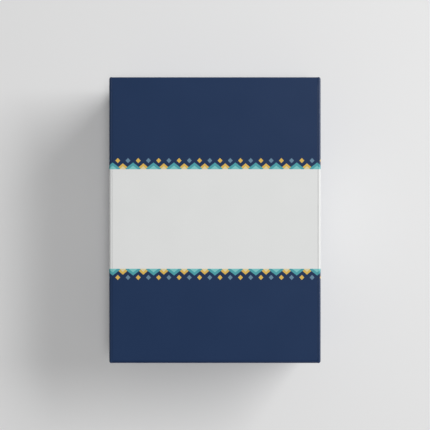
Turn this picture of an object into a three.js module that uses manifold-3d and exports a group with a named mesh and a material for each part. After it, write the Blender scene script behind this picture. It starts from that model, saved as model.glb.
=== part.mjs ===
// Roll end mailer box folded from micro flute board, lying closed with its lid up.
// Two folded pieces of one blank: the tray (base and walls) and the lid hinged on the rear wall.
// Millimetres, +Z up, X across the box, +Y towards the rear hinge, origin under the middle of the base.

import * as THREE from 'three';
import { mergeVertices } from 'three/addons/utils/BufferGeometryUtils.js';
import Module from 'manifold-3d';

const wasm = await Module();
wasm.setup();

// Outer size of the closed box
const BOX_WIDTH = 200;
const BOX_LENGTH = 270;
const BOX_HEIGHT = 80;

// Board and the air left between its folded layers
const BOARD = 0.8;
const LAYER_GAP = 0.15;
const EDGE_GAP = 0.3;

// Air between the tray and the lid that swings out of it
const LID_SIDE_CLEARANCE = 0.12;
const LID_FRONT_CLEARANCE = 0.15;
const HINGE_GAP = 0.3;

// Outer radius of each fold
const CORNER_RADIUS = 2.3;
const BASE_FOLD_RADIUS = 1.3;
const BASE_END_FOLD_RADIUS = 1.0;
const SIDE_ROLL_RADIUS = 2.2;
const FRONT_ROLL_RADIUS = 1.35;
const INNER_FOLD_RADIUS = 0.3;
const HINGE_FOLD_RADIUS = 1.2;
const LID_FOLD_RADIUS = 0.4;
const FOLD_STEPS = 8;

// A sharp fold's inner radius as a share of the board, and the most of a short panel that it may take
const INNER_FOLD_SHARE = 0.15;
const INNER_FOLD_ROOM = 0.45;

// Flaps that the rolled side walls hold between their layers
const CORNER_FLAP_LENGTH = 68;
const CORNER_FLAP_TAPER = 6;

// Tabs of the inner side panels and their slots in the base
const TAB_LENGTH = 30;
const TAB_SPACING = 130;
const TAB_RECESS = 0.1;

// Side ears of the lid
const EAR_DEPTH = 34;
const EAR_FRONT_SETBACK = 4;
const EAR_REAR_SETBACK = 14;
const EAR_CORNER_RADIUS = 11;

// Tuck flap on the lid's front edge, leaning in so that it clears the front wall as it swings out
const TUCK_DEPTH = 44;
const TUCK_SWING_CLEARANCE = 0.3;
const TUCK_SIDE_SETBACK = 2.5;
const TUCK_CORNER_RADIUS = 14;
const CUT_CORNER_STEPS = 12;

// Colours of the printed board
const NAVY_PRINT = 0x2a3f61;
const PRINT_ROUGHNESS = 0.55;

const halfWidth = BOX_WIDTH / 2;
const halfLength = BOX_LENGTH / 2;
const sideRollWidth = 3 * BOARD + 2 * LAYER_GAP;
const frontRollWidth = 2 * BOARD + LAYER_GAP;
const underRoll = BOX_HEIGHT - BOARD - LAYER_GAP;
const lidHalfWidth = halfWidth - sideRollWidth - LID_SIDE_CLEARANCE;
const lidFront = -halfLength + frontRollWidth + LID_FRONT_CLEARANCE;
const lidHingeEdge = BOX_HEIGHT - HINGE_FOLD_RADIUS;
const rearWallTop = lidHingeEdge - HINGE_GAP;

// The hinge line lies half the gap above the rear wall and behind the box
const hingeY = halfLength + HINGE_GAP / 2;
const hingeZ = rearWallTop + HINGE_GAP / 2;

// Unit direction from one point to the next
function direction(from, to) {
  return to.clone().sub(from).normalize();
}

// Left hand normal of a direction in the drawing plane
function leftOf(vector) {
  return new THREE.Vector2(-vector.y, vector.x);
}

// An open line through the points with a round bend at each inner point
function bentLine(points, radii) {
  const line = [points[0]];
  for (let i = 1; i < points.length - 1; i += 1) {
    const before = direction(points[i - 1], points[i]);
    const after = direction(points[i], points[i + 1]);
    const turn = Math.atan2(before.cross(after), before.dot(after));
    const radius = radii[i - 1];
    const reach = radius * Math.tan(Math.abs(turn) / 2);
    const inward = leftOf(before).multiplyScalar(Math.sign(turn));
    const centre = points[i].clone().addScaledVector(before, -reach).addScaledVector(inward, radius);
    const steps = Math.ceil(FOLD_STEPS * Math.min(1, radius));
    for (let step = 0; step <= steps; step += 1) {
      const angle = (Math.abs(turn) * step) / steps;
      const point = centre.clone().addScaledVector(inward, -radius * Math.cos(angle));
      line.push(point.addScaledVector(before, radius * Math.sin(angle)));
    }
  }
  line.push(points[points.length - 1]);
  return line;
}

// The line moved sideways by the board's thickness, towards the side that it bends to
function innerLine(points, side) {
  return points.map((point, i) => {
    const before = direction(points[Math.max(i - 1, 0)], points[Math.max(i, 1)]);
    const after = direction(points[Math.min(i, points.length - 2)], points[Math.min(i + 1, points.length - 1)]);
    const normals = [leftOf(before).multiplyScalar(side), leftOf(after).multiplyScalar(side)];
    const middle = normals[0].clone().add(normals[1]).normalize();
    return point.clone().addScaledVector(middle, BOARD / middle.dot(normals[0]));
  });
}

// Section of a strip of board folded along the outer points; side is 1 to bend left and -1 to bend right
function foldedSection(points, radii, side) {
  const outer = bentLine(points, radii);
  const inside = innerLine(points, side);
  const innerRadii = radii.map((radius, i) => {
    const room = Math.min(inside[i].distanceTo(inside[i + 1]), inside[i + 1].distanceTo(inside[i + 2]));
    return Math.min(Math.max(radius - BOARD, INNER_FOLD_SHARE * BOARD), INNER_FOLD_ROOM * room);
  });
  const inner = bentLine(inside, innerRadii);
  return new THREE.Shape([...outer, ...inner.reverse()]);
}

function solidOf(geometry) {
  geometry.deleteAttribute('normal');
  geometry.deleteAttribute('uv');
  const merged = mergeVertices(geometry, 1e-5);
  return new wasm.Manifold(new wasm.Mesh({
    numProp: 3,
    vertProperties: new Float32Array(merged.attributes.position.array),
    triVerts: new Uint32Array(merged.index.array),
  }));
}

// A shape drawn in one plane and extruded between two places on the third axis
function extruded(shape, start, end, axes) {
  const geometry = new THREE.ExtrudeGeometry(shape, { depth: end - start, bevelEnabled: false });
  geometry.translate(0, 0, start);
  geometry.applyMatrix4(new THREE.Matrix4().makeBasis(...axes));
  return solidOf(geometry);
}

const axisX = new THREE.Vector3(1, 0, 0);
const axisY = new THREE.Vector3(0, 1, 0);
const axisZ = new THREE.Vector3(0, 0, 1);

// Drawn as (y, z), extruded along X
function alongX(shape, x0, x1) {
  return extruded(shape, x0, x1, [axisY, axisZ, axisX]);
}

// Drawn as (x, z), extruded along Y; the drawing looks from the front, so depth runs towards -Y
function alongY(shape, y0, y1) {
  return extruded(shape, -y1, -y0, [axisX, axisZ, axisY.clone().negate()]);
}

// Drawn as (x, y), extruded upwards
function alongZ(shape, z0, z1) {
  return extruded(shape, z0, z1, [axisX, axisY, axisZ]);
}

function point(a, b) {
  return new THREE.Vector2(a, b);
}

function rectangle(a0, a1, b0, b1) {
  return new THREE.Shape([point(a0, b0), point(a1, b0), point(a1, b1), point(a0, b1)]);
}

function block(x0, x1, y0, y1, z0, z1) {
  return alongZ(rectangle(x0, x1, y0, y1), z0, z1);
}

// A rectangle whose four corners are rounded by one radius
function roundedRectangle(a0, a1, b0, b1, radius, steps) {
  const corners = [
    [a1 - radius, b1 - radius, 0],
    [a0 + radius, b1 - radius, 1],
    [a0 + radius, b0 + radius, 2],
    [a1 - radius, b0 + radius, 3],
  ];
  const outline = [];
  for (const [a, b, quarter] of corners) {
    for (let step = 0; step <= steps; step += 1) {
      const angle = ((quarter + step / steps) * Math.PI) / 2;
      outline.push(point(a + radius * Math.cos(angle), b + radius * Math.sin(angle)));
    }
  }
  return new THREE.Shape(outline);
}

function mirroredX(solid) {
  return solid.mirror([1, 0, 0]);
}

function joined(solids) {
  return solids.reduce((whole, solid) => whole.add(solid));
}

// Base with one side wall: outer panel, roll over the top and inner panel down to the base
function baseWithSide() {
  const line = [
    point(BOARD, 0),
    point(-halfWidth, 0),
    point(-halfWidth, BOX_HEIGHT),
    point(-halfWidth + sideRollWidth, BOX_HEIGHT),
    point(-halfWidth + sideRollWidth, BOARD + EDGE_GAP),
  ];
  const radii = [BASE_FOLD_RADIUS, SIDE_ROLL_RADIUS, INNER_FOLD_RADIUS];
  const wall = alongY(foldedSection(line, radii, -1), -halfLength, halfLength);
  return wall.subtract(sidePanelEnd(-1)).subtract(sidePanelEnd(1));
}

// The inner side panel stops short of the front and rear walls, under the roll
function sidePanelEnd(end) {
  const reach = halfLength - BOARD - LAYER_GAP;
  const ys = [end * reach, end * (halfLength + EDGE_GAP)].sort((a, b) => a - b);
  const x0 = -halfWidth + BOARD + LAYER_GAP / 2;
  const top = underRoll + LAYER_GAP / 2;
  return block(x0, -halfWidth + sideRollWidth + EDGE_GAP, ys[0], ys[1], BOARD + LAYER_GAP, top);
}

// A front or rear wall whose ends fold back as corner flaps inside the side walls; end is -1 or 1
function wallWithFlaps(end, top) {
  const flapX = halfWidth - BOARD - LAYER_GAP;
  const face = end * halfLength;
  const tip = end * (halfLength - CORNER_FLAP_LENGTH);
  const plan = [point(-flapX, tip), point(-flapX, face), point(flapX, face), point(flapX, tip)];
  const strip = foldedSection(plan, [HINGE_FOLD_RADIUS, HINGE_FOLD_RADIUS], -end);
  const flapBottom = BOARD + LAYER_GAP;
  const band = alongZ(strip, flapBottom, underRoll).intersect(flapOutline(end, flapBottom));
  const inside = end * (halfLength - BOARD);
  const panelX = flapX - 2 * BOARD;
  const foot = block(-panelX, panelX, Math.min(face, inside), Math.max(face, inside), 0, flapBottom + BOARD);
  const middle = halfWidth - sideRollWidth - LAYER_GAP;
  const notch = block(-middle, middle, Math.min(face, inside) - 1, Math.max(face, inside) + 1, top, BOX_HEIGHT);
  return band.add(foot).subtract(notch);
}

// Side view of the corner flaps, narrowing towards their free ends
function flapOutline(end, bottom) {
  const root = end * (halfLength + EDGE_GAP);
  const tip = end * (halfLength - CORNER_FLAP_LENGTH);
  const outline = new THREE.Shape([
    point(root, bottom),
    point(tip, bottom + CORNER_FLAP_TAPER),
    point(tip, underRoll - CORNER_FLAP_TAPER),
    point(root, underRoll),
  ]);
  return alongX(outline, -halfWidth, halfWidth);
}

// Front wall between the side walls: outer panel, roll and inner panel
function frontRoll() {
  const line = [
    point(-halfLength, BOARD),
    point(-halfLength, BOX_HEIGHT),
    point(-halfLength + frontRollWidth, BOX_HEIGHT),
    point(-halfLength + frontRollWidth, BOARD + EDGE_GAP),
  ];
  const reach = halfWidth - sideRollWidth - LAYER_GAP;
  const section = foldedSection(line, [FRONT_ROLL_RADIUS, INNER_FOLD_RADIUS], -1);
  return alongX(section, -reach, reach);
}

// Tabs under the inner side panels; grown by a margin they are the slots in the base
function baseTabs(margin, bottom, top) {
  const x1 = -halfWidth + sideRollWidth + margin;
  const x0 = x1 - BOARD - 2 * margin;
  const tabs = [-1, 1].map((end) => {
    const middle = (end * TAB_SPACING) / 2;
    const reach = TAB_LENGTH / 2 + margin;
    return block(x0, x1, middle - reach, middle + reach, bottom, top);
  });
  return joined([...tabs, ...tabs.map(mirroredX)]);
}

// Outer form that rounds the upright corners and the folds at the base's front and rear
function outerForm() {
  const plan = roundedRectangle(-halfWidth, halfWidth, -halfLength, halfLength, CORNER_RADIUS, FOLD_STEPS);
  const above = BOX_HEIGHT + 2 * BASE_END_FOLD_RADIUS;
  const side = roundedRectangle(-halfLength, halfLength, 0, above, BASE_END_FOLD_RADIUS, FOLD_STEPS);
  return alongZ(plan, 0, BOX_HEIGHT).intersect(alongX(side, -halfWidth, halfWidth));
}

function traySolid() {
  const half = baseWithSide();
  const slots = baseTabs(EDGE_GAP, -EDGE_GAP, BOARD + EDGE_GAP);
  const tabs = baseTabs(0, TAB_RECESS, 2 * BOARD);
  const walls = joined([half, mirroredX(half)]).subtract(slots).add(tabs);
  const ends = joined([wallWithFlaps(-1, underRoll), wallWithFlaps(1, rearWallTop), frontRoll()]);
  return walls.add(ends).intersect(outerForm());
}

// How far the tuck flap leans in so that its tip stays within the swing of the lid's front fold
function tuckLean() {
  const swing = hingeY - lidFront - TUCK_SWING_CLEARANCE;
  const drop = TUCK_DEPTH + LID_FOLD_RADIUS;
  return swing + TUCK_SWING_CLEARANCE - Math.sqrt(swing * swing - drop * drop);
}

// Lid from the hinge fold over the top and down the tuck flap, as wide as the lid
function lidLengthwise() {
  const line = [
    point(halfLength, lidHingeEdge),
    point(halfLength, BOX_HEIGHT),
    point(lidFront, BOX_HEIGHT),
    point(lidFront + tuckLean(), BOX_HEIGHT - TUCK_DEPTH),
  ];
  const strip = foldedSection(line, [HINGE_FOLD_RADIUS, LID_FOLD_RADIUS], 1);
  return alongX(strip, -lidHalfWidth, lidHalfWidth).intersect(tuckOutline());
}

// Front view of the lid: all of its top, and the tuck flap with rounded lower corners
function tuckOutline() {
  const foldLine = BOX_HEIGHT - HINGE_FOLD_RADIUS - HINGE_GAP;
  const reach = lidHalfWidth - TUCK_SIDE_SETBACK;
  const bottom = BOX_HEIGHT - TUCK_DEPTH - BOARD;
  const flap = roundedRectangle(-reach, reach, bottom, BOX_HEIGHT, TUCK_CORNER_RADIUS, CUT_CORNER_STEPS);
  const top = rectangle(-lidHalfWidth, lidHalfWidth, foldLine, BOX_HEIGHT);
  return joined([flap, top].map((shape) => alongY(shape, -halfLength, halfLength + HINGE_GAP)));
}

// Lid across its width with an ear folded down on each side, cut to the ears' outline
function lidCrosswise() {
  const bottom = BOX_HEIGHT - EAR_DEPTH;
  const line = [
    point(-lidHalfWidth, bottom),
    point(-lidHalfWidth, BOX_HEIGHT),
    point(lidHalfWidth, BOX_HEIGHT),
    point(lidHalfWidth, bottom),
  ];
  const strip = foldedSection(line, [LID_FOLD_RADIUS, LID_FOLD_RADIUS], -1);
  const front = lidFront + EAR_FRONT_SETBACK;
  const rear = halfLength - EAR_REAR_SETBACK;
  const above = BOX_HEIGHT + EAR_CORNER_RADIUS;
  const ears = roundedRectangle(front, rear, bottom, above, EAR_CORNER_RADIUS, CUT_CORNER_STEPS);
  return alongY(strip, front, rear).intersect(alongX(ears, -halfWidth, halfWidth));
}

// Side edges of the flat lid panel that the ears' folds take up
function earFoldStrips() {
  const front = lidFront + EAR_FRONT_SETBACK;
  const rear = halfLength - EAR_REAR_SETBACK;
  const bottom = BOX_HEIGHT - 2 * BOARD;
  const above = BOX_HEIGHT + BOARD;
  const strip = block(lidHalfWidth - LID_FOLD_RADIUS, halfWidth, front, rear, bottom, above);
  return strip.add(mirroredX(strip));
}

function lidSolid() {
  return lidLengthwise().subtract(earFoldStrips()).add(lidCrosswise());
}

function meshOf(name, solid) {
  const { vertProperties, triVerts } = solid.getMesh();
  const geometry = new THREE.BufferGeometry();
  geometry.setAttribute('position', new THREE.BufferAttribute(new Float32Array(vertProperties), 3));
  geometry.setIndex(new THREE.BufferAttribute(new Uint32Array(triVerts), 1));
  geometry.computeVertexNormals();
  const material = new THREE.MeshStandardMaterial({
    color: NAVY_PRINT,
    roughness: PRINT_ROUGHNESS,
    metalness: 0,
  });
  const mesh = new THREE.Mesh(geometry, material);
  mesh.name = name;
  return mesh;
}

// The lid hangs in a group at the hinge line, so turning that group about X opens the box
function hingedLid() {
  const hinge = new THREE.Group();
  hinge.position.set(0, hingeY, hingeZ);
  hinge.add(meshOf('lid', lidSolid().translate([0, -hingeY, -hingeZ])));
  return hinge;
}

const mailerBox = new THREE.Group();
mailerBox.add(meshOf('tray', traySolid()));
mailerBox.add(hingedLid());

export default mailerBox;
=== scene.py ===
"""Looks of a roll end mailer box: printed board, cut edges, a border print and a soft studio."""

import logging
import math
from bisect import bisect_right
from dataclasses import dataclass, field
from enum import Enum
from typing import Callable, Iterable, Optional

import bmesh
import bpy
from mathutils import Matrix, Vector


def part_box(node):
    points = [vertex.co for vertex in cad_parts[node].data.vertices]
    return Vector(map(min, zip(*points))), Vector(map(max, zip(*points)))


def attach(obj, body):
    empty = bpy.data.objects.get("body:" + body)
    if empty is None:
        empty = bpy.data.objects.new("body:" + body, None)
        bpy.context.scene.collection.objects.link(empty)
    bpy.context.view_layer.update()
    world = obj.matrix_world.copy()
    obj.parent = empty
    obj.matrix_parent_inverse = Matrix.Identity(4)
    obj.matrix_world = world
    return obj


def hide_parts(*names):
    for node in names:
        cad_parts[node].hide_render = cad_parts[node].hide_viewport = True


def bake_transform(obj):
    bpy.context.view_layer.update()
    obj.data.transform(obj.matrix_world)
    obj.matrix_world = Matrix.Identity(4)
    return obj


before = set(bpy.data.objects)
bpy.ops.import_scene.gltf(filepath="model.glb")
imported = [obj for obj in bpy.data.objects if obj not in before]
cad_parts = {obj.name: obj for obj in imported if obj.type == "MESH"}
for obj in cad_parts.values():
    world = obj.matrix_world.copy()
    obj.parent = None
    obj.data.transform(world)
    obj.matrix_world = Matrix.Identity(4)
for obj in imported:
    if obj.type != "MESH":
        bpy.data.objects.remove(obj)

LOG = logging.getLogger("mailer_box")
MM = 0.001
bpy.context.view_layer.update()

# How much of a face's unit normal lies along an axis
HARDLY, PARTLY, HALF, WHOLLY = 0.1, 0.15, 0.5, 0.9

# Corners nearer than this to each other are welded, or to a cutting plane count as on it
WELD = 0.0005 * MM
ON_PLANE = 0.0001 * MM

# At scale one the bands of a wave texture are two pi twentieths apart
WAVE_SCALE = math.pi / 10

# Usual lowest and highest values of the print's clouds, and of its clouds and grain together
CLOUD_SPAN = (0.35, 0.65)
MOTTLE_SPAN = (0.45, 1.0)

# Finishes of the board, and inks of the border, in the order of their material slots
FINISHES = ("navy", "white", "liner", "edge")
INKS = ("teal", "gold", "aqua", "slate", "cream")


def linear(hex_colour: str) -> tuple[float, float, float, float]:
    """Turn an sRGB hex colour into Blender's linear values.

    Args:
        hex_colour: Six hex digits, red first.

    Returns:
        Red, green, blue and an alpha of one.
    """
    parts = [int(hex_colour[i : i + 2], 16) / 255 for i in (0, 2, 4)]
    red, green, blue = (p / 12.92 if p <= 0.04045 else ((p + 0.055) / 1.055) ** 2.4 for p in parts)
    return red, green, blue, 1.0


def add_node(
    tree: bpy.types.NodeTree,
    kind: str,
    settings: Optional[dict[str, object]] = None,
    values: Optional[dict[str, object]] = None,
    links: Optional[dict[str, bpy.types.NodeSocket]] = None,
) -> bpy.types.Node:
    """Add one node with its settings, socket values and incoming links.

    Args:
        tree: The node tree that gets the node.
        kind: The node's type name.
        settings: Properties of the node itself.
        values: Default values of its input sockets, by name or index.
        links: Output sockets to link to its inputs, by name or index.

    Returns:
        The new node.
    """
    node = tree.nodes.new(kind)
    for name, value in (settings or {}).items():
        setattr(node, name, value)
    for name, value in (values or {}).items():
        node.inputs[name].default_value = value
    for name, socket in (links or {}).items():
        tree.links.new(socket, node.inputs[name])
    return node


def new_material(name: str, roughness: float, specular: float) -> bpy.types.Material:
    """Make a material whose shader has a plain roughness and specular level.

    Args:
        name: The material's name.
        roughness: Roughness of the shader.
        specular: Specular level of the shader.

    Returns:
        The new material.
    """
    material = bpy.data.materials.new(name)
    material.use_nodes = True
    shader = material.node_tree.nodes["Principled BSDF"]
    shader.inputs["Roughness"].default_value = roughness
    shader.inputs["Specular IOR Level"].default_value = specular
    return material


def flute_waves(
    tree: bpy.types.NodeTree,
    place: bpy.types.NodeSocket,
    direction: str,
    pitch: float,
    distortion: float,
    detail: float,
) -> bpy.types.NodeSocket:
    """Add waves at the pitch of the board's flutes.

    Args:
        tree: The material's node tree.
        place: The coordinates.
        direction: The way in which wave follows wave, as the wave texture names it.
        pitch: Distance from wave to wave, in metres.
        distortion: How far the waves stray.
        detail: Detail of the straying.

    Returns:
        The height of the waves, from 0 to 1.
    """
    waves = add_node(
        tree,
        "ShaderNodeTexWave",
        {"wave_type": "BANDS", "bands_direction": direction, "wave_profile": "SIN"},
        {"Scale": WAVE_SCALE / pitch, "Distortion": distortion, "Detail": detail},
        {"Vector": place},
    )
    return waves.outputs["Fac"]


def bump(
    tree: bpy.types.NodeTree,
    height: bpy.types.NodeSocket,
    distance: float,
    below: Optional[bpy.types.NodeSocket] = None,
) -> bpy.types.NodeSocket:
    """Add a bump at full strength.

    Args:
        tree: The material's node tree.
        height: The height, from 0 to 1.
        distance: What a height of 1 stands for, in metres.
        below: Normal of a bump that this one lies on.

    Returns:
        The bumped normal.
    """
    links = {"Height": height} if below is None else {"Height": height, "Normal": below}
    values = {"Strength": 1.0, "Distance": distance}
    return add_node(tree, "ShaderNodeBump", values=values, links=links).outputs["Normal"]


class Side(Enum):
    """The three kinds of surface that a sheet of printed board has."""

    PRINTED = "printed"
    LINER = "liner"
    CUT = "cut"


@dataclass(frozen=True)
class BoxSizes:
    """Sizes of the folded box in metres; its outer form is read from the frame.

    The folds are outer radii. The band's front and rear are places along the box, and its foot is
    the level at which it ends on the outer side walls.
    """

    board: float = 0.8 * MM
    side_roll: float = 2.7 * MM
    front_roll: float = 1.75 * MM
    side_fold: float = 2.2 * MM
    inner_fold: float = 0.3 * MM
    lid_fold: float = 0.4 * MM
    base_fold: float = 1.3 * MM
    hinge_fold: float = 1.2 * MM
    hinge_gap: float = 0.3 * MM
    ear_depth: float = 34.0 * MM
    panel_foot: float = 1.1 * MM
    band_front: float = -45.9 * MM
    band_rear: float = 48.0 * MM
    band_foot: float = 35.7 * MM
    tolerance: float = 0.05 * MM

    half_width: float = field(default_factory=lambda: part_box("tray")[1].x)
    half_length: float = field(default_factory=lambda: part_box("tray")[1].y)
    height: float = field(default_factory=lambda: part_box("tray")[1].z)
    lid_half_width: float = field(default_factory=lambda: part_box("lid")[1].x)


@dataclass(frozen=True)
class CoatedPrint:
    """Coated ink on the board's liner: an even colour with a faint grain and washboard.

    The mottle is the share by which the colour wanders, and the sheen is how far the roughness
    does. The grain's share is its weight in the mottle, beside the clouds' weight of one.
    """

    name: str
    colour: str
    mottle: float = 0.03
    roughness: float = 0.5
    sheen: float = 0.015
    specular: float = 0.3
    cloud_size: float = 38 * MM
    grain_size: float = 1.4 * MM
    grain_share: float = 0.45
    grain_height: float = 0.012 * MM
    flute_pitch: float = 2.4 * MM
    flute_height: float = 0.006 * MM

    def build(self) -> bpy.types.Material:
        """Make the material; colour and roughness wander slightly, as ink on paper does.

        Returns:
            The new material.
        """
        material = new_material(self.name, self.roughness, self.specular)
        tree = material.node_tree
        shader = tree.nodes["Principled BSDF"]
        place = add_node(tree, "ShaderNodeTexCoord").outputs["Object"]
        # Soft clouds a few centimetres across: uneven ink coverage
        clouds = self._noise(tree, place, self.cloud_size, detail=3.0, roughness=0.5)
        # Paper grain, drawn coarser than the real fibres so that it shows from a step away
        grain = self._noise(tree, place, self.grain_size, detail=5.0, roughness=0.65)
        # Flutes run along the box, so the washboard waves across it
        flutes = flute_waves(tree, place, "X", self.flute_pitch, distortion=0.15, detail=1.0)
        washboard = bump(tree, flutes, self.flute_height)
        normal = bump(tree, grain, self.grain_height, washboard)
        roughness = self._spread(tree, clouds, CLOUD_SPAN, self.roughness, self.sheen)
        tree.links.new(self._tint(tree, clouds, grain), shader.inputs["Base Color"])
        tree.links.new(roughness, shader.inputs["Roughness"])
        tree.links.new(normal, shader.inputs["Normal"])
        return material

    @staticmethod
    def _noise(
        tree: bpy.types.NodeTree,
        place: bpy.types.NodeSocket,
        size: float,
        detail: float,
        roughness: float,
    ) -> bpy.types.NodeSocket:
        """Add noise with blobs of about the given size in metres."""
        values = {"Scale": 1 / size, "Detail": detail, "Roughness": roughness}
        noise = add_node(tree, "ShaderNodeTexNoise", values=values, links={"Vector": place})
        return noise.outputs["Fac"]

    def _tint(
        self, tree: bpy.types.NodeTree, clouds: bpy.types.NodeSocket, grain: bpy.types.NodeSocket
    ) -> bpy.types.NodeSocket:
        """Mottle the ink's colour with the clouds and the grain."""
        both = add_node(
            tree,
            "ShaderNodeMath",
            {"operation": "MULTIPLY_ADD"},
            {1: self.grain_share},
            {0: grain, 2: clouds},
        )
        share = self._spread(tree, both.outputs[0], MOTTLE_SPAN, 1.0, self.mottle)
        tint = add_node(
            tree,
            "ShaderNodeVectorMath",
            {"operation": "SCALE"},
            {0: linear(self.colour)[:3]},
            {"Scale": share},
        )
        return tint.outputs["Vector"]

    @staticmethod
    def _spread(
        tree: bpy.types.NodeTree,
        value: bpy.types.NodeSocket,
        span: tuple[float, float],
        middle: float,
        reach: float,
    ) -> bpy.types.NodeSocket:
        """Map a value from its usual span to within reach of a middle, either side."""
        values = {
            "From Min": span[0],
            "From Max": span[1],
            "To Min": middle - reach,
            "To Max": middle + reach,
        }
        mapped = add_node(tree, "ShaderNodeMapRange", values=values, links={"Value": value})
        return mapped.outputs["Result"]


@dataclass(frozen=True)
class CutBoardEdge:
    """Raw die-cut edge of micro flute board: pale paper with the wavy core's shadows."""

    name: str = "raw_flute_edge"
    paper: str = "c9c2b4"
    shade: str = "8d8576"
    paper_from: float = 0.55
    roughness: float = 0.9
    specular: float = 0.15
    flute_pitch: float = 2.4 * MM
    flute_height: float = 0.1 * MM

    def build(self) -> bpy.types.Material:
        """Make the material from slanted waves, so that every cut direction shows flutes.

        Returns:
            The new material.
        """
        material = new_material(self.name, self.roughness, self.specular)
        tree = material.node_tree
        shader = tree.nodes["Principled BSDF"]
        place = add_node(tree, "ShaderNodeTexCoord").outputs["Object"]
        flutes = flute_waves(tree, place, "DIAGONAL", self.flute_pitch, distortion=0.4, detail=2.0)
        ramp = add_node(tree, "ShaderNodeValToRGB", links={"Fac": flutes})
        dark, light = ramp.color_ramp.elements
        dark.color = linear(self.shade)
        light.color = linear(self.paper)
        light.position = self.paper_from
        tree.links.new(ramp.outputs["Color"], shader.inputs["Base Color"])
        tree.links.new(bump(tree, flutes, self.flute_height), shader.inputs["Normal"])
        return material


@dataclass(frozen=True)
class StudioFloor:
    """Seamless pale paper under the box."""

    name: str = "pale_backdrop_paper"
    colour: str = "e6e6e6"
    roughness: float = 0.95
    specular: float = 0.0

    def build(self) -> bpy.types.Material:
        """Make the material: plain matt paper.

        Returns:
            The new material.
        """
        material = new_material(self.name, self.roughness, self.specular)
        shader = material.node_tree.nodes["Principled BSDF"]
        shader.inputs["Base Color"].default_value = linear(self.colour)
        return material


class Palette:
    """All finishes of the box, each made once."""

    def __init__(self) -> None:
        """Build every material."""
        navy = CoatedPrint("navy_coated_print", "1a3154", mottle=0.025, specular=0.5)
        white = CoatedPrint("white_coated_liner", "dfe0df", mottle=0.012, roughness=0.55)
        liner = CoatedPrint("uncoated_inner_liner", "dad7d0", roughness=0.85, specular=0.15)
        self.navy = navy.build()
        self.white = white.build()
        self.liner = liner.build()
        self.edge = CutBoardEdge().build()
        self.teal = CoatedPrint("teal_ink", "4f9ea6").build()
        self.aqua = CoatedPrint("aqua_ink", "7cc3c2").build()
        self.gold = CoatedPrint("gold_ink", "d9b458").build()
        self.cream = CoatedPrint("cream_ink", "dccfa4").build()
        self.slate = CoatedPrint("slate_ink", "67869c").build()


def smooth_folds(mesh: bpy.types.Mesh, sharpest: float = math.radians(32)) -> None:
    """Shade the folds smooth and keep every cut edge sharp.

    Args:
        mesh: The mesh to shade.
        sharpest: The greatest angle between faces that is shaded smooth.
    """
    mesh.shade_smooth()
    mesh.set_sharp_from_angle(angle=sharpest)


def cut_along(work: bmesh.types.BMesh, normal: Vector, distance: float) -> None:
    """Cut a mesh along a plane and keep both halves.

    Args:
        work: The mesh.
        normal: The plane's unit normal.
        distance: How far the plane is from the origin, along the normal.
    """
    geometry = [*work.verts, *work.edges, *work.faces]
    bmesh.ops.bisect_plane(
        work, geom=geometry, dist=ON_PLANE, plane_co=distance * normal, plane_no=normal
    )


def new_object(name: str, mesh: bpy.types.Mesh) -> bpy.types.Object:
    """Link a new object that holds the mesh at the origin."""
    piece = bpy.data.objects.new(name, mesh)
    bpy.context.scene.collection.objects.link(piece)
    return piece


def applied(piece: bpy.types.Object) -> bpy.types.Object:
    """Turn the modifiers of a piece into plain mesh.

    Args:
        piece: An object with modifiers.

    Returns:
        The same object with the evaluated mesh and no modifiers.
    """
    graph = bpy.context.evaluated_depsgraph_get()
    mesh = bpy.data.meshes.new_from_object(
        piece.evaluated_get(graph), preserve_all_data_layers=True, depsgraph=graph
    )
    piece.modifiers.clear()
    piece.data = mesh
    return piece


@dataclass
class BoardPiece:
    """One folded piece of the blank, dressed face by face in print, liner and raw edge."""

    node: str
    slot: str
    palette: Palette
    sizes: BoxSizes
    side_of: Callable[[Vector, Vector], Side]

    def build(self) -> bpy.types.Object:
        """Copy the solid, cut the band's outline into it and give each face its finish.

        Returns:
            The finished piece, riding on its body and standing for its solid.
        """
        mesh = self._banded_copy()
        for finish in FINISHES:
            mesh.materials.append(getattr(self.palette, finish))
        for face in mesh.polygons:
            face.material_index = FINISHES.index(self._finish(face.center, face.normal))
        smooth_folds(mesh)
        piece = new_object(f"{self.node}_board", mesh)
        normals = piece.modifiers.new("even_panels", "WEIGHTED_NORMAL")
        normals.keep_sharp = True
        normals.weight = 100
        applied(piece)
        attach(piece, self.node)
        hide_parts(self.node)
        LOG.info("%s: %d faces", piece.name, len(piece.data.polygons))
        return piece

    def _banded_copy(self) -> bpy.types.Mesh:
        """Copy the node's mesh with doubles merged and edge loops along the band's outline."""
        work = bmesh.new()
        work.from_mesh(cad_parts[self.node].data)
        bmesh.ops.remove_doubles(work, verts=work.verts, dist=WELD)
        cut_along(work, Vector((0, 1, 0)), self.sizes.band_front)
        cut_along(work, Vector((0, 1, 0)), self.sizes.band_rear)
        cut_along(work, Vector((0, 0, 1)), self.sizes.band_foot)
        mesh = bpy.data.meshes.new(f"{self.node}_board")
        work.to_mesh(mesh)
        work.free()
        return mesh

    def _finish(self, centre: Vector, normal: Vector) -> str:
        """Name of a face's finish."""
        side = self.side_of(centre, normal)
        if side is Side.PRINTED:
            return "white" if self._on_band(centre) else "navy"
        return "liner" if side is Side.LINER else "edge"

    def _on_band(self, centre: Vector) -> bool:
        """Whether a printed face is on the band.

        The band ends part way down the outer side walls, and keeps off the underside.
        """
        sizes = self.sizes
        on_side_wall = abs(centre.x) > sizes.half_width - sizes.board
        foot = sizes.band_foot if on_side_wall else sizes.base_fold
        return sizes.band_front < centre.y < sizes.band_rear and centre.z > foot


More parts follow.
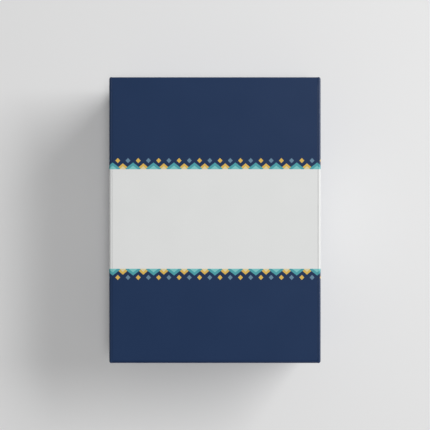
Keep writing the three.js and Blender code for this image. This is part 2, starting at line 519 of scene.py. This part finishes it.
def lid_side(sizes: BoxSizes) -> Callable[[Vector, Vector], Side]:
    """Make the rule that tells the lid's printed, inner and cut faces apart.

    Args:
        sizes: The box's sizes.

    Returns:
        The rule, from a face's centre and normal to its side of the board.
    """

    def rule(centre: Vector, normal: Vector) -> Side:
        """Side of the board for a face of the lid."""
        under = sizes.height - sizes.board
        outward = normal.x * math.copysign(1, centre.x)
        if normal.z > PARTLY and centre.z > under + sizes.tolerance:
            return Side.PRINTED
        on_ear = abs(centre.x) > sizes.lid_half_width - sizes.board - sizes.tolerance
        if on_ear and abs(outward) > PARTLY and abs(normal.y) < HARDLY:
            return Side.PRINTED if outward > 0 and centre.z < sizes.height else Side.LINER
        on_hinge_fold = centre.y > sizes.half_length - sizes.hinge_fold
        if on_hinge_fold and abs(normal.x) < HARDLY:
            return Side.PRINTED if normal.y > PARTLY else Side.LINER
        between_ears = abs(centre.x) < sizes.lid_half_width - 2 * sizes.board
        if between_ears and abs(normal.y) > WHOLLY:
            return Side.PRINTED if normal.y < 0 else Side.LINER
        cut_level = normal.z < -WHOLLY and centre.z < under - sizes.board
        if abs(normal.x) > WHOLLY or abs(normal.y) > WHOLLY or cut_level:
            return Side.CUT
        return Side.LINER

    return rule


def tray_side(sizes: BoxSizes) -> Callable[[Vector, Vector], Side]:
    """Make the rule that tells the tray's printed, inner and cut faces apart.

    Args:
        sizes: The box's sizes.

    Returns:
        The rule, from a face's centre and normal to its side of the board.
    """
    near = sizes.tolerance
    outer_fold = near + sizes.side_fold * (1 - math.cos(math.pi / 4))

    def rule(centre: Vector, normal: Vector) -> Side:
        """Side of the board for a face of the tray."""
        across = sizes.half_width - abs(centre.x)
        front = centre.y + sizes.half_length
        rear = sizes.half_length - centre.y
        end = min(front, rear)
        outward_x = normal.x * math.copysign(1, centre.x)
        outward_y = -normal.y if front < rear else normal.y
        if normal.z < -PARTLY and centre.z < sizes.board + near:
            in_slot = centre.z > near and min(across, end) > sizes.base_fold
            return Side.CUT if in_slot else Side.PRINTED
        on_roll = across < sizes.side_roll + near or front < sizes.front_roll + near
        if normal.z > PARTLY and centre.z > sizes.height - sizes.side_fold and on_roll:
            return Side.PRINTED
        if outward_x > PARTLY and across < outer_fold:
            return Side.PRINTED
        if outward_y > PARTLY and end < outer_fold:
            return Side.PRINTED
        if outward_x < -HALF and abs(across - sizes.side_roll) < sizes.inner_fold:
            return Side.PRINTED
        if normal.y > HALF and abs(front - sizes.front_roll) < sizes.inner_fold:
            return Side.PRINTED
        if abs(normal.y) > WHOLLY and across < sizes.side_roll + near:
            return Side.CUT
        above_base = centre.z > sizes.board + near
        below_top = centre.z < sizes.height - sizes.board - near
        on_crease = rear < sizes.board + near and centre.z > sizes.height - sizes.side_fold - near
        if abs(normal.z) > WHOLLY and above_base and below_top and not on_crease:
            return Side.CUT
        return Side.LINER

    return rule


@dataclass(frozen=True)
class BorderRow:
    """One row of equal flat shapes of the border, along the edge of the band.

    The rise is the distance from the band's edge to the shapes' middles, and 0 sets them on the
    edge. The start is where the row begins, in pitches. Higher layers lie on lower ones.
    """

    sides: int
    width: float
    height: float
    rise: float
    start: float
    ink: str
    layer: int


def border_rows() -> list[BorderRow]:
    """List the border's rows: triangles with lighter cores, and diamonds over their valleys."""
    return [
        BorderRow(3, 13.0 * MM, 5.6 * MM, 0.0, 1, "gold", 0),
        BorderRow(3, 16.4 * MM, 6.4 * MM, 0.0, 0, "teal", 1),
        BorderRow(3, 8.8 * MM, 3.4 * MM, 0.0, 0, "aqua", 2),
        BorderRow(3, 6.2 * MM, 3.0 * MM, 0.0, 1, "cream", 2),
        BorderRow(4, 4.6 * MM, 4.8 * MM, 8.2 * MM, 0.5, "gold", 0),
        BorderRow(4, 4.6 * MM, 4.8 * MM, 8.2 * MM, 1.5, "slate", 0),
    ]


@dataclass
class PrintPath:
    """Line round the right half of the box's outside, which the print follows.

    It is drawn as (x, z) from corner to corner with a round fold at each inner corner. The girth is
    the length along it, and equals x on the flat top. A shape that crosses its last end is cut
    there, or left out if the line ends whole. A fold of a millimetre or more has all its steps.
    """

    corners: list[tuple[float, float]]
    folds: list[float]
    ends_whole: bool = False
    fold_steps: int = 8
    girths: list[float] = field(init=False, default_factory=list)
    places: list[Vector] = field(init=False, default_factory=list)
    normals: list[Vector] = field(init=False, default_factory=list)

    def __post_init__(self) -> None:
        """Work out the stations of the line: its ends and the steps of each fold."""
        points = [Vector(corner) for corner in self.corners]
        self._station(points[0], self._left(points[1] - points[0]))
        turns = zip(points, points[1:], points[2:], self.folds)
        for before, corner, after, radius in turns:
            start, end = self._left(corner - before), self._left(after - corner)
            centre = corner - radius * (start + end)
            steps = math.ceil(self.fold_steps * min(1.0, radius / MM))
            for k in range(steps + 1):
                turn = math.pi / 2 * k / steps
                normal = start * math.cos(turn) + end * math.sin(turn)
                self._station(centre + normal * radius, normal)
        self._station(points[-1], self._left(points[-1] - points[-2]))
        on_top = max(range(len(self.normals)), key=lambda k: self.normals[k].y)
        shift = self.places[on_top].x - self.girths[on_top]
        self.girths = [girth + shift for girth in self.girths]

    @staticmethod
    def _left(vector: Vector) -> Vector:
        """Left hand unit normal of a direction."""
        return Vector((-vector.y, vector.x)).normalized()

    def _station(self, place: Vector, normal: Vector) -> None:
        """Add one station at the end of the line."""
        gone = (place - self.places[-1]).length if self.places else 0.0
        self.girths.append((self.girths[-1] if self.girths else 0.0) + gone)
        self.places.append(place)
        self.normals.append(normal)

    def folded(self, flat: Vector, lift: float) -> Vector:
        """Fold a flat point onto the outside.

        Args:
            flat: The point, with the girth as x (negative on the left half) and the box's y.
            lift: Its height over the board.

        Returns:
            The point in the box's frame.
        """
        girth = min(max(abs(flat.x), self.girths[0]), self.girths[-1])
        k = min(bisect_right(self.girths, girth), len(self.girths) - 1) - 1
        share = (girth - self.girths[k]) / (self.girths[k + 1] - self.girths[k])
        place = self.places[k].lerp(self.places[k + 1], share)
        place = place + self.normals[k].lerp(self.normals[k + 1], share) * lift
        return Vector((math.copysign(place.x, flat.x), flat.y, place.y))


@dataclass
class BorderPrint:
    """The geometric border along both edges of the band, on the lid and the side walls.

    The count is how many shapes a row has, two pitches apart. The film is the thickness of a layer.
    """

    palette: Palette
    sizes: BoxSizes
    pitch: float = 9.65 * MM
    count: int = 21
    film: float = 0.01 * MM
    group: bpy.types.NodeTree = field(init=False)

    def __post_init__(self) -> None:
        """Build the node group that lays out one row."""
        self.group = self._row_group()

    def _row_group(self) -> bpy.types.NodeTree:
        """Node group: regular polygons of one size instanced along a straight line."""
        tree = bpy.data.node_groups.new("border_row", "GeometryNodeTree")
        tree.interface.new_socket("Geometry", in_out="OUTPUT", socket_type="NodeSocketGeometry")
        for name, kind in (
            ("Sides", "NodeSocketInt"),
            ("Count", "NodeSocketInt"),
            ("Start", "NodeSocketVector"),
            ("Step", "NodeSocketVector"),
            ("Scale", "NodeSocketVector"),
            ("Finish", "NodeSocketMaterial"),
        ):
            tree.interface.new_socket(name, in_out="INPUT", socket_type=kind)
        given = add_node(tree, "NodeGroupInput").outputs
        line = add_node(
            tree,
            "GeometryNodeMeshLine",
            {"mode": "OFFSET"},
            links={
                "Count": given["Count"],
                "Start Location": given["Start"],
                "Offset": given["Step"],
            },
        )
        shape = add_node(
            tree,
            "GeometryNodeMeshCircle",
            {"fill_type": "NGON"},
            {"Radius": 1.0},
            {"Vertices": given["Sides"]},
        )
        # A quarter turn sets the first corner upwards
        turned = add_node(
            tree,
            "GeometryNodeTransform",
            values={"Rotation": (0.0, 0.0, math.pi / 2)},
            links={"Geometry": shape.outputs["Mesh"]},
        )
        copies = add_node(
            tree,
            "GeometryNodeInstanceOnPoints",
            links={
                "Points": line.outputs["Mesh"],
                "Instance": turned.outputs["Geometry"],
                "Scale": given["Scale"],
            },
        )
        real = add_node(
            tree, "GeometryNodeRealizeInstances", links={"Geometry": copies.outputs["Instances"]}
        )
        inked = add_node(
            tree,
            "GeometryNodeSetMaterial",
            links={"Geometry": real.outputs["Geometry"], "Material": given["Finish"]},
        )
        add_node(tree, "NodeGroupOutput", links={"Geometry": inked.outputs["Geometry"]})
        return tree

    def _flat_row(self, row: BorderRow) -> bpy.types.Mesh:
        """Lay one row out flat: x along the band's edge, y away from the band."""
        carrier = new_object("border_row", bpy.data.meshes.new("border_row"))
        modifier = carrier.modifiers.new("row", "NODES")
        modifier.node_group = self.group
        corners = [math.pi / 2 + 2 * math.pi * k / row.sides for k in range(row.sides)]
        widest = 2 * max(math.cos(a) for a in corners)
        lowest = min(math.sin(a) for a in corners)
        scale = (row.width / widest, row.height / (1 - lowest), 1.0)
        middle = row.rise if row.rise else -lowest * scale[1]
        first = (row.start + 1 - self.count) * self.pitch
        values = {
            "Sides": row.sides,
            "Count": self.count,
            "Start": (first, middle, 0.0),
            "Step": (2 * self.pitch, 0.0, 0.0),
            "Scale": scale,
            "Finish": getattr(self.palette, row.ink),
        }
        for item in self.group.interface.items_tree:
            if item.name in values:
                modifier[item.identifier] = values[item.name]
        mesh = applied(carrier).data
        bpy.data.objects.remove(carrier)
        return mesh

    def _add_row(self, sheet: bmesh.types.BMesh, row: BorderRow, path: PrintPath) -> None:
        """Cut a flat row at a path's stations, fold it along both band edges and add it.

        Args:
            sheet: The mesh that gathers the print.
            row: The row's shapes, ink and layer.
            path: The line that the print follows.
        """
        work = bmesh.new()
        work.from_mesh(self._flat_row(row))
        start, end = path.girths[0], path.girths[-1]
        if path.ends_whole:
            crossing = [f for f in work.faces if max(abs(v.co.x) for v in f.verts) > end]
            bmesh.ops.delete(work, geom=crossing, context="FACES")
        for girth in path.girths:
            cut_along(work, Vector((1, 0, 0)), -girth)
            cut_along(work, Vector((1, 0, 0)), girth)
        # A flake's underside is sunk half a layer, into the board or the flake below it
        lifts = ((row.layer - 0.5) * self.film, (row.layer + 1) * self.film)
        for face in work.faces:
            if start < abs(face.calc_center_median().x) < end:
                for edge, away in ((self.sizes.band_rear, 1), (self.sizes.band_front, -1)):
                    flat = [Vector((v.co.x, edge + away * v.co.y, 0)) for v in face.verts]
                    flake = [
                        [sheet.verts.new(path.folded(corner, lift)) for corner in flat]
                        for lift in lifts
                    ]
                    self._close(sheet, flake, INKS.index(row.ink))
        work.free()

    @staticmethod
    def _close(
        sheet: bmesh.types.BMesh, flake: list[list[bmesh.types.BMVert]], finish: int
    ) -> None:
        """Close the flake of ink between its lower and upper corners."""
        bottom, top = flake
        made = [sheet.faces.new(top), sheet.faces.new(list(reversed(bottom)))]
        for k in range(len(top)):
            after = (k + 1) % len(top)
            made.append(sheet.faces.new((top[after], top[k], bottom[k], bottom[after])))
        for face in made:
            face.material_index = finish

    def _print_on(self, name: str, body: str, path: PrintPath) -> bpy.types.Object:
        """Make the border's print on one body.

        Args:
            name: Name of the new piece.
            body: The body that it rides on.
            path: The line that it follows.

        Returns:
            The finished piece.
        """
        sheet = bmesh.new()
        for row in border_rows():
            self._add_row(sheet, row, path)
        bmesh.ops.recalc_face_normals(sheet, faces=sheet.faces)
        mesh = bpy.data.meshes.new(name)
        sheet.to_mesh(mesh)
        sheet.free()
        for ink in INKS:
            mesh.materials.append(getattr(self.palette, ink))
        piece = new_object(name, mesh)
        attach(piece, body)
        LOG.info("%s: %d faces", piece.name, len(mesh.polygons))
        return piece

    def build(self) -> list[bpy.types.Object]:
        """Print the border on the lid with its ears, and on both faces of the side walls.

        Returns:
            The print on the lid and the print on the side walls.
        """
        sizes = self.sizes
        top, ear = sizes.height, sizes.lid_half_width
        ear_end = top - sizes.ear_depth + sizes.tolerance
        lid = PrintPath([(0.0, top), (ear, top), (ear, ear_end)], [sizes.lid_fold])
        wall, seam = sizes.half_width, sizes.half_width - sizes.side_roll
        panel_end = sizes.panel_foot + sizes.tolerance
        roll = PrintPath(
            [(seam, panel_end), (seam, top), (wall, top), (wall, sizes.band_foot)],
            [sizes.inner_fold, sizes.side_fold],
            ends_whole=True,
        )
        return [
            self._print_on("lid_border_print", "lid", lid),
            self._print_on("side_border_print", "tray", roll),
        ]


@dataclass
class HingeFold:
    """The crease of the blank between the rear wall and the lid.

    It overlaps both pieces, and is inset so that it stays inside the board.
    """

    palette: Palette
    sizes: BoxSizes
    overlap: float = 0.25 * MM
    inset: float = 0.06 * MM
    steps: int = 6

    def build(self) -> bpy.types.Object:
        """Make the strip across the hinge, from the top of the rear wall up into the lid.

        Returns:
            The finished piece.
        """
        rear = self.sizes.half_length - self.inset
        front = self.sizes.half_length - self.sizes.board + self.inset
        low = self.sizes.height - self.sizes.hinge_fold - self.sizes.hinge_gap - self.overlap
        high = self.sizes.height - self.sizes.hinge_fold + self.overlap
        reach = self.sizes.lid_half_width - self.inset
        work = bmesh.new()
        rings = []
        for k in range(self.steps + 1):
            z = low + (high - low) * k / self.steps
            ring = [(-reach, front, z), (reach, front, z), (reach, rear, z), (-reach, rear, z)]
            rings.append([work.verts.new(place) for place in ring])
        for lower, upper in zip(rings, rings[1:]):
            for k in range(4):
                after = (k + 1) % 4
                work.faces.new((lower[k], lower[after], upper[after], upper[k]))
        work.faces.new(list(reversed(rings[0])))
        work.faces.new(rings[-1])
        bmesh.ops.recalc_face_normals(work, faces=work.faces)
        mesh = bpy.data.meshes.new("hinge_fold")
        work.to_mesh(mesh)
        work.free()
        for finish in (self.palette.navy, self.palette.liner):
            mesh.materials.append(finish)
        for face in mesh.polygons:
            face.material_index = 1 if face.normal.y < -HALF else 0
        piece = new_object("hinge_fold", mesh)
        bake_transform(piece)
        LOG.info("%s: %d faces", piece.name, len(mesh.polygons))
        return piece


@dataclass(frozen=True)
class Softbox:
    """One rectangular soft light that faces the middle of the floor.

    Lengths are in metres, the power is in watts, the elevation is degrees above the floor and the
    heading is degrees from +X towards +Y.
    """

    name: str
    distance: float
    elevation: float
    heading: float
    width: float
    height: float
    power: float
    glossy: bool = True

    def hang(self) -> None:
        """Hang the light."""
        lamp = bpy.data.lights.new(self.name, "AREA")
        lamp.shape = "RECTANGLE"
        lamp.size = self.width
        lamp.size_y = self.height
        lamp.energy = self.power
        box = bpy.data.objects.new(self.name, lamp)
        bpy.context.scene.collection.objects.link(box)
        up, around = math.radians(self.elevation), math.radians(self.heading)
        level = math.cos(up)
        towards = Vector((level * math.cos(around), level * math.sin(around), math.sin(up)))
        box.location = towards * self.distance
        box.rotation_euler = towards.to_track_quat("Z", "Y").to_euler()
        box.visible_glossy = self.glossy


@dataclass
class Studio:
    """Pale floor, a broad light from the right, one overhead, weak fill and the camera overhead.

    The camera's height is over the lid, and the frame is as wide as the picture at the lid's level.
    """

    sizes: BoxSizes
    floor_reach: float = 6.0
    camera_height: float = 808 * MM
    frame_width: float = 405.8 * MM
    camera_shift_x: float = 0.07 * MM
    camera_shift_y: float = 4.82 * MM
    sensor_mm: float = 36.0
    fill: float = 0.14
    key: Softbox = Softbox(
        "key_softbox",
        distance=3.28,
        elevation=33.1,
        heading=27.0,
        width=2.5,
        height=1.15,
        power=88.0,
    )
    top: Softbox = Softbox(
        "overhead_softbox",
        distance=2.3,
        elevation=86.0,
        heading=330.0,
        width=0.55,
        height=0.55,
        power=20.6,
        glossy=False,
    )

    def floor(self) -> None:
        """Lay the floor under the box."""
        work = bmesh.new()
        bmesh.ops.create_grid(work, x_segments=8, y_segments=8, size=self.floor_reach)
        mesh = bpy.data.meshes.new("studio_floor")
        work.to_mesh(mesh)
        work.free()
        mesh.materials.append(StudioFloor().build())
        new_object("studio_floor", mesh)

    def lights(self) -> None:
        """Hang both soft lights and set the weak even fill of the world."""
        self.key.hang()
        self.top.hang()
        world = bpy.data.worlds.new("studio_fill")
        bpy.context.scene.world = world
        world.use_nodes = True
        background = world.node_tree.nodes["Background"]
        background.inputs["Color"].default_value = (1.0, 1.0, 1.0, 1.0)
        background.inputs["Strength"].default_value = self.fill

    def camera(self) -> None:
        """Set the camera straight over the box, looking down, with the rear of the box up."""
        data = bpy.data.cameras.new("overhead")
        data.sensor_width = self.sensor_mm
        data.lens = self.sensor_mm * self.camera_height / self.frame_width
        data.clip_start = 0.01
        data.clip_end = 100.0
        camera = bpy.data.objects.new("overhead", data)
        above = self.sizes.height + self.camera_height
        camera.location = (self.camera_shift_x, self.camera_shift_y, above)
        bpy.context.scene.collection.objects.link(camera)
        bpy.context.scene.camera = camera

    def build(self) -> None:
        """Set up the whole studio."""
        self.floor()
        self.lights()
        self.camera()
        bpy.context.scene.view_settings.view_transform = "Standard"
        LOG.info("studio ready")


def main() -> None:
    """Build the box's pieces in order, then the studio."""
    logging.basicConfig(level=logging.INFO, format="%(name)s: %(message)s")
    sizes = BoxSizes()
    palette = Palette()
    BoardPiece("tray", "printed_board", palette, sizes, tray_side(sizes)).build()
    BoardPiece("lid", "printed_lid_board", palette, sizes, lid_side(sizes)).build()
    HingeFold(palette, sizes).build()
    BorderPrint(palette, sizes).build()
    Studio(sizes).build()


if __name__ == "__main__":
    main()
